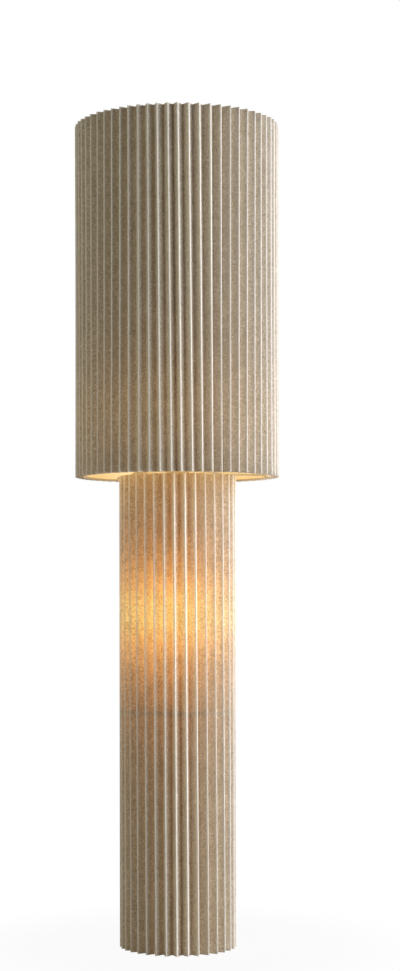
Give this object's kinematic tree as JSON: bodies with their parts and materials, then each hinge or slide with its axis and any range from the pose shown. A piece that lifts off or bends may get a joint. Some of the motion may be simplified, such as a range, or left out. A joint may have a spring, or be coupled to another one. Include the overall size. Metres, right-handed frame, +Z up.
{
  "type": "floor lamp",
  "caption": "Free-standing floor lamp: a wide pleated paper cylinder shade on a narrow pleated paper column, lit from inside by screw-in bulbs on a hidden rod frame.",
  "frame": {"origin": "centre of the lamp's foot on the floor", "axes": "+Z up the lamp, -Y the front that faces the viewer, +X to the viewer's right"},
  "size_m": [0.3498, 0.3499, 1.4],
  "materials": {
    "pleated_paper": "matt handmade-look fibre paper, warm off-white, lets light through",
    "lining_sheet": "smooth matt cream sheet, lets light through",
    "wire_paint": "satin cream powder coat on wire",
    "frame_paint": "satin white powder coat",
    "plate_steel": "matt black powder coat",
    "foot_rubber": "matt",
    "zinc": "zinc plated",
    "holder_plastic": "moulded, white",
    "holder_ceramic": "unglazed, white",
    "contact_brass": "pressed sheet",
    "bulb_glass": "frosted white, lit",
    "cap_nickel": "nickel plated",
    "tip_black": "moulded, black",
    "lead_sheath": "white cable sheath"
  },
  "bodies": {
    "frame": {"base_plate": "plate_steel", "base_feet": "foot_rubber", "cord_gland": "foot_rubber", "rod_back": "frame_paint", "rod_right": "frame_paint", "rod_left": "frame_paint", "rod_base_nuts": "zinc", "rod_tray_nuts": "zinc", "rod_star_nuts": "zinc", "rod_top_nuts": "zinc", "lamp_tray": "frame_paint", "lower_stem": "zinc", "stem_nuts": "zinc", "top_star": "frame_paint", "upper_nipple": "zinc", "nipple_nut": "zinc", "lower_holder_cap": "holder_plastic", "lower_holder_shell": "holder_plastic", "lower_holder_core": "holder_ceramic", "lower_holder_insert": "contact_brass", "lower_holder_contact": "contact_brass", "upper_holder_cap": "holder_plastic", "upper_holder_shell": "holder_plastic", "upper_holder_core": "holder_ceramic", "upper_holder_insert": "contact_brass", "upper_holder_contact": "contact_brass", "terminal_block": "holder_plastic", "terminal_screws": "zinc", "lower_lead": "lead_sheath", "upper_lead": "lead_sheath", "lead_clips": "holder_plastic"},
    "lower_bulb": {"lower_bulb_globe": "bulb_glass", "lower_bulb_cap": "cap_nickel", "lower_bulb_tip": "tip_black"},
    "upper_bulb": {"upper_bulb_globe": "bulb_glass", "upper_bulb_cap": "cap_nickel", "upper_bulb_tip": "tip_black"},
    "column": {"column_pleats": "pleated_paper", "column_liner": "lining_sheet", "column_top_ring": "wire_paint", "column_bottom_ring": "wire_paint"},
    "shade": {"shade_pleats": "pleated_paper", "shade_liner": "lining_sheet", "shade_top_ring": "wire_paint", "shade_bottom_ring": "wire_paint", "shade_spider": "wire_paint"}
  },
  "joints": [
    {"name": "column_lift", "type": "slide", "parent": "frame", "child": "column", "axis": [0, 0, 1], "range_m": [0, 0.94]},
    {"name": "shade_lift", "type": "slide", "parent": "column", "child": "shade", "axis": [0, 0, 1], "range_m": [0, 0.15]},
    {"name": "lower_bulb_out", "type": "slide", "parent": "frame", "child": "lower_bulb", "axis": [0, 0, 1], "range_m": [0, 0.03]},
    {"name": "upper_bulb_out", "type": "slide", "parent": "frame", "child": "upper_bulb", "axis": [0, 0, 1], "range_m": [0, 0.03]}
  ]
}
